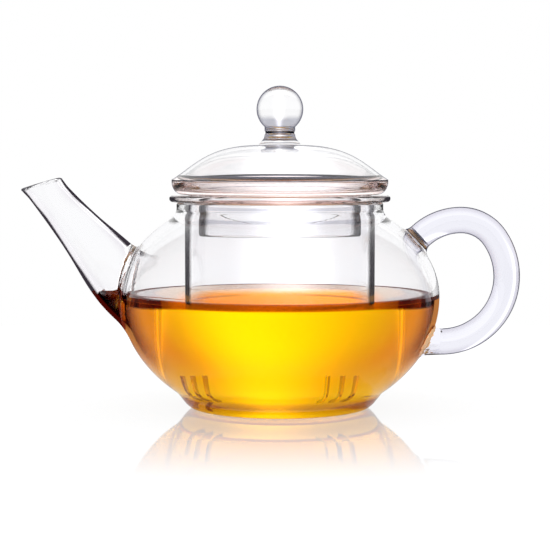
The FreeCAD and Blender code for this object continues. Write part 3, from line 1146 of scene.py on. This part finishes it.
def brewed_tea():
    material, value, shader = clear_body("tea", tea_ior, tea_gloss)
    _, across, depth, height = coordinates(value)
    radius = value.math("SQRT", across * across + depth * depth)
    grazing = seen_grazing(value)
    # painted shade: darker where the skin is seen at a slant, darker still at the sides, fading out towards
    # the foot
    slant = grazing.ramp(*tea_slant) * height.ramp(*tea_slant_heights)
    colour = slant.mix((1, 1, 1, 1), tea_slant_shade)
    side = grazing.ramp(*tea_side) * height.ramp(*tea_side_heights)
    colour = side.mix(colour, tea_side_shade)
    # painted shade: darker low down at the foot, towards the wall
    floor = height.ramp(*tea_floor_heights) * radius.ramp(*tea_floor_radii)
    colour = floor.mix(colour, tea_floor_shade)
    turned = grazing.ramp(*tea_turned)
    near_wall = radius.ramp(*tea_wall_radii)
    # painted shade: the edge that climbs the glass is dark brown, near black where it is seen at a slant
    edge = (height + turned * tea_edge_more).ramp(tea_level - tea_edge_depth, tea_level) * near_wall
    colour = edge.mix(colour, turned.mix(tea_edge_shade, tea_turned_edge_shade))
    # painted shade: the tea in the spout is near black
    colour = across.ramp(*tea_spout_end).mix(tea_spout_shade, colour)
    value.fill(shader.inputs["Base Color"], colour)
    liquid = Value(value.tree, shader.outputs[0])
    # painted glow: an orange see-through patch in the middle of the surface, stronger in front
    on_top = height.ramp(tea_level - tea_skin, tea_level) * (1 - near_wall)
    middle = value.math("ABSOLUTE", across).ramp(*tea_middle) * on_top
    rising = middle * (tea_clear_behind + tea_clear_more_in_front * depth.ramp(*tea_front))
    clear = value.node("BsdfTransparent", {"Color": tea_painted_glow})
    surface = rising.blend(liquid, clear)
    # painted shade: the climbing edge lets light straight through with a dark brown tint and mirrors nothing
    climbed = value.node("BsdfTransparent", {"Color": tea_climbed_shade})
    show(material, edge.blend(surface, climbed))
    absorb = value.node("VolumeAbsorption", {"Color": tea_colour, "Density": tea_strength})
    value.fill(material.node_tree.nodes["Material Output"].inputs["Volume"], absorb)
    return material


tea.data.materials.clear()
tea.data.materials.append(brewed_tea())
print(f"tea: dressed, edge {tea_edge_depth / MM:.1f} mm deep")

# %% [markdown]
# ## The table
# The pot stands on a white table with a polished top. Near the pot it mirrors, and the mirror image fades
# out with distance. The table is a disc a hair below the foot, so the two surfaces don't fight. Part of
# its white is its own glow and part is light that falls on it, so the pot still casts a soft shadow.

# %% Table
table_radius = 290 * MM
table_drop = 0.2 * MM
table_glow = 0.80
table_white = 0.28
mirror_share = 0.55
mirrored_light = 0.2
mirror_start = 40 * MM
mirror_end = 142 * MM
table_polish = 0.03
table_sides = 128

bpy.ops.mesh.primitive_circle_add(
    vertices=table_sides, radius=table_radius, fill_type="NGON", location=(0, 0, -table_drop)
)
table = bpy.context.object
table.name = "table"


def polished_white():
    material, value = new_material("polished_white")
    place = value.node("TexCoord", output="Object")
    radius = value.node("VectorMath", {0: place}, output="Value", operation="LENGTH")
    mirror = (1 - radius.ramp(mirror_start, mirror_end)) * mirror_share
    paint = (table_white, table_white, table_white, 1)
    diffuse = value.node("BsdfDiffuse", {"Color": paint})
    mirrored = value.node("LightPath", output="Is Reflection Ray")
    glow_colour = mirrored.mix((1, 1, 1, 1), (mirrored_light, mirrored_light, mirrored_light, 1))
    glow = value.node("Emission", {"Color": glow_colour, "Strength": table_glow})
    white = value.node("AddShader", {0: diffuse, 1: glow})
    gloss = value.node("BsdfGlossy", {"Color": (1, 1, 1, 1), "Roughness": table_polish})
    show(material, mirror.blend(white, gloss))
    return material


table.data.materials.append(polished_white())
print(f"table: {2 * table_radius / MM:.0f} mm across, mirrors up to {mirror_end / MM:.0f} mm from the axis")

# %% [markdown]
# ## The light
# Glass is lit from behind. The room is a plain white round the pot and a little darker overhead, so bent
# rays that look up turn darker and help to draw the edges. The camera sees plain white. So do mirrored
# rays that rise, because most of those come from the table. Mirrored rays that sink come from the glass,
# and they find little light, so that no veil of reflections lies over the tea.

# %% World
wall_light = (1.0, 1.0, 1.0, 1)
ceiling_light = (0.82, 0.82, 0.85, 1)
wall_mirrored = 0.1
ceiling_from = 14
ceiling_full = 38


def sine(degrees):
    return math.sin(math.radians(degrees))


def studio():
    world = bpy.data.worlds.new("studio")
    bpy.context.scene.world = world
    world.use_nodes = True
    value = Value(world.node_tree)
    looking = value.node("TexCoord", output="Generated")
    up = value.node("SeparateXYZ", {0: looking}, output="Z")
    around = up.ramp(sine(ceiling_from), sine(ceiling_full)).mix(wall_light, ceiling_light)
    seen = value.node("LightPath", output="Is Camera Ray")
    mirrored = value.node("LightPath", output="Is Reflection Ray")
    rising = value.math("GREATER_THAN", up, 0.0)
    in_glass = mirrored * (1 - rising)
    in_table = mirrored * rising
    plain = value.math("MAXIMUM", seen, in_table)
    colour = plain.mix(around, (1, 1, 1, 1))
    strength = 1 - in_glass * (1 - wall_mirrored)
    background = value.node("Background", {"Color": colour, "Strength": strength})
    value.fill(world.node_tree.nodes["World Output"].inputs["Surface"], background)


studio()
print(f"room: white below {ceiling_from} degrees, ceiling grey above {ceiling_full}")

# %% [markdown]
# ## The panel
# A soft upright panel behind the pot glows most along its middle. Only light that has come through the
# pot meets it, so the tea lights up at its heart while the table and the background stay as they are.

# %% Panel behind the pot
panel_distance = 200 * MM
panel_width = 400 * MM
panel_height = 260 * MM
panel_middle = 6 * MM
panel_spread = 12 * MM
panel_peak = 2.05

bpy.ops.mesh.primitive_plane_add(size=1, rotation=(math.pi / 2, 0, 0))
panel = bpy.context.object
panel.name = "panel"
panel.scale = (panel_width, panel_height, 1)
panel.location = (0, panel_distance, panel_height / 2 - table_drop)
bpy.ops.object.transform_apply(location=True, rotation=True, scale=True)
for kind in ("camera", "diffuse", "glossy", "shadow"):
    setattr(panel, f"visible_{kind}", False)


def soft_panel():
    material, value = new_material("soft_panel")
    across = coordinates(value)[1]
    off = (across - panel_middle) / panel_spread
    middle = value.math("EXPONENT", off * off * -0.5)
    share = [wall / panel_peak for wall in wall_light[:3]] + [1]
    glow = {"Color": middle.mix(share, (1, 1, 1, 1)), "Strength": panel_peak}
    show(material, value.node("Emission", glow))
    return material


panel.data.materials.append(soft_panel())
print(f"panel: {panel_width / MM:.0f} mm wide, {panel_distance / MM:.0f} mm behind the axis")

# %% [markdown]
# ## Light paths and colour
# A ray that crosses the lid, the infuser, the tea and both walls of the bowl meets some twenty surfaces,
# so it is given room for that many. The view transform is the plain one, so that white stays white.

# %% Render paths
most_bounces = 32
mirror_bounces = 12
clear_bounces = 16
scene = bpy.context.scene
scene.view_settings.view_transform = "Standard"
scene.cycles.max_bounces = most_bounces
scene.cycles.transmission_bounces = most_bounces
scene.cycles.glossy_bounces = mirror_bounces
scene.cycles.transparent_max_bounces = clear_bounces
print(f"light paths: up to {most_bounces} surfaces")
